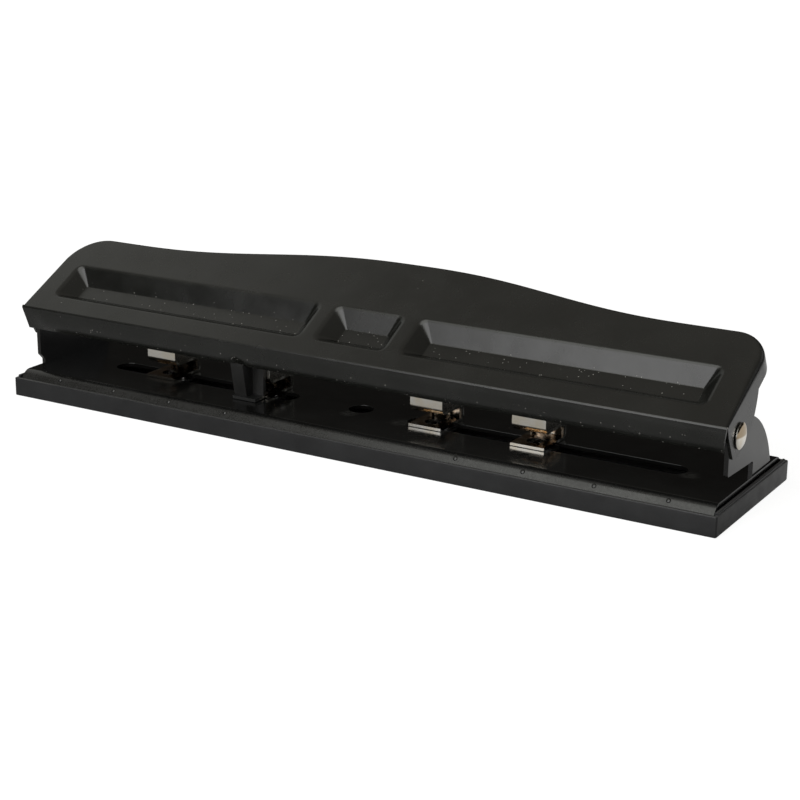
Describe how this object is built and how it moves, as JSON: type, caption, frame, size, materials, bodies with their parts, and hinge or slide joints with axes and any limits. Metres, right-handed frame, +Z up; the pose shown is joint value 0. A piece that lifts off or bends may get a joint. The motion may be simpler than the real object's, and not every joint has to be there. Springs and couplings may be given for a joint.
{
  "type": "four-hole paper punch",
  "caption": "Long desk paper punch: pressed-steel lever on end rivets over a base in a chip tray, with adjustable punch heads that slide along slots.",
  "frame": {"origin": "centre of the chip tray's underside, where the punch rests on the desk", "axes": "+X along the punch, +Y to the back (the paper goes in from -Y), +Z up"},
  "size_m": [0.3016, 0.067, 0.0623],
  "materials": {
    "tray_plastic": "fine satin moulding",
    "frame_enamel": "gloss black stoving enamel",
    "lever_enamel": "satin black stoving enamel",
    "nickel": "bright nickel plate",
    "spring_steel": "plain steel",
    "washer_nylon": "natural nylon",
    "guide_plastic": "fine matt moulding"
  },
  "bodies": {
    "root": {"chip_tray": "tray_plastic", "base_frame": "frame_enamel", "hinge_rivet_left": "nickel", "hinge_rivet_right": "nickel", "hinge_washer_left": "washer_nylon", "hinge_washer_right": "washer_nylon"},
    "lever": {"lever": "lever_enamel"},
    "head_1": {"head_bracket_1": "nickel", "return_spring_1": "spring_steel", "keeper_plate_1": "spring_steel", "keeper_rivet_left_1": "spring_steel", "keeper_rivet_right_1": "spring_steel"},
    "pin_1": {"punch_pin_1": "spring_steel", "pin_cap_1": "nickel", "pin_ring_1": "spring_steel"},
    "head_2": {"head_bracket_2": "nickel", "return_spring_2": "spring_steel", "keeper_plate_2": "spring_steel", "keeper_rivet_left_2": "spring_steel", "keeper_rivet_right_2": "spring_steel", "paper_guide": "guide_plastic"},
    "pin_2": {"punch_pin_2": "spring_steel", "pin_cap_2": "nickel", "pin_ring_2": "spring_steel"},
    "head_3": {"head_bracket_3": "nickel", "return_spring_3": "spring_steel", "keeper_plate_3": "spring_steel", "keeper_rivet_left_3": "spring_steel", "keeper_rivet_right_3": "spring_steel"},
    "pin_3": {"punch_pin_3": "spring_steel", "pin_cap_3": "nickel", "pin_ring_3": "spring_steel"},
    "head_4": {"head_bracket_4": "nickel", "return_spring_4": "spring_steel", "keeper_plate_4": "spring_steel", "keeper_rivet_left_4": "spring_steel", "keeper_rivet_right_4": "spring_steel"},
    "pin_4": {"punch_pin_4": "spring_steel", "pin_cap_4": "nickel", "pin_ring_4": "spring_steel"}
  },
  "joints": [
    {"name": "lever_hinge", "type": "hinge", "parent": "root", "child": "lever", "pos_m": [0, -0.0153, 0.03], "axis": [-1, 0, 0], "range_deg": [0, 28.9], "stiffness_Nm_per_rad": 0.7, "springref_deg": -20.63},
    {"name": "head_1_slide", "type": "slide", "parent": "root", "child": "head_1", "axis": [1, 0, 0], "range_m": [-0.019, 0.0153]},
    {"name": "pin_1_press", "type": "slide", "parent": "head_1", "child": "pin_1", "axis": [0, 0, -1], "range_m": [0, 0.0056], "deforming": ["return_spring_1"]},
    {"name": "head_2_slide", "type": "slide", "parent": "root", "child": "head_2", "axis": [1, 0, 0], "range_m": [-0.0155, 0.0077]},
    {"name": "pin_2_press", "type": "slide", "parent": "head_2", "child": "pin_2", "axis": [0, 0, -1], "range_m": [0, 0.0056], "deforming": ["return_spring_2"]},
    {"name": "head_3_slide", "type": "slide", "parent": "root", "child": "head_3", "axis": [1, 0, 0], "range_m": [-0.0037, 0.0138]},
    {"name": "pin_3_press", "type": "slide", "parent": "head_3", "child": "pin_3", "axis": [0, 0, -1], "range_m": [0, 0.0056], "deforming": ["return_spring_3"]},
    {"name": "head_4_slide", "type": "slide", "parent": "root", "child": "head_4", "axis": [1, 0, 0], "range_m": [-0.0138, 0.0506]},
    {"name": "pin_4_press", "type": "slide", "parent": "head_4", "child": "pin_4", "axis": [0, 0, -1], "range_m": [0, 0.0056], "deforming": ["return_spring_4"]}
  ],
  "couplings": [
    {"joint": "pin_1_press", "follows": "lever_hinge", "m_per_rad": 0.01094},
    {"joint": "pin_2_press", "follows": "lever_hinge", "m_per_rad": 0.01094},
    {"joint": "pin_3_press", "follows": "lever_hinge", "m_per_rad": 0.01094},
    {"joint": "pin_4_press", "follows": "lever_hinge", "m_per_rad": 0.01094}
  ]
}
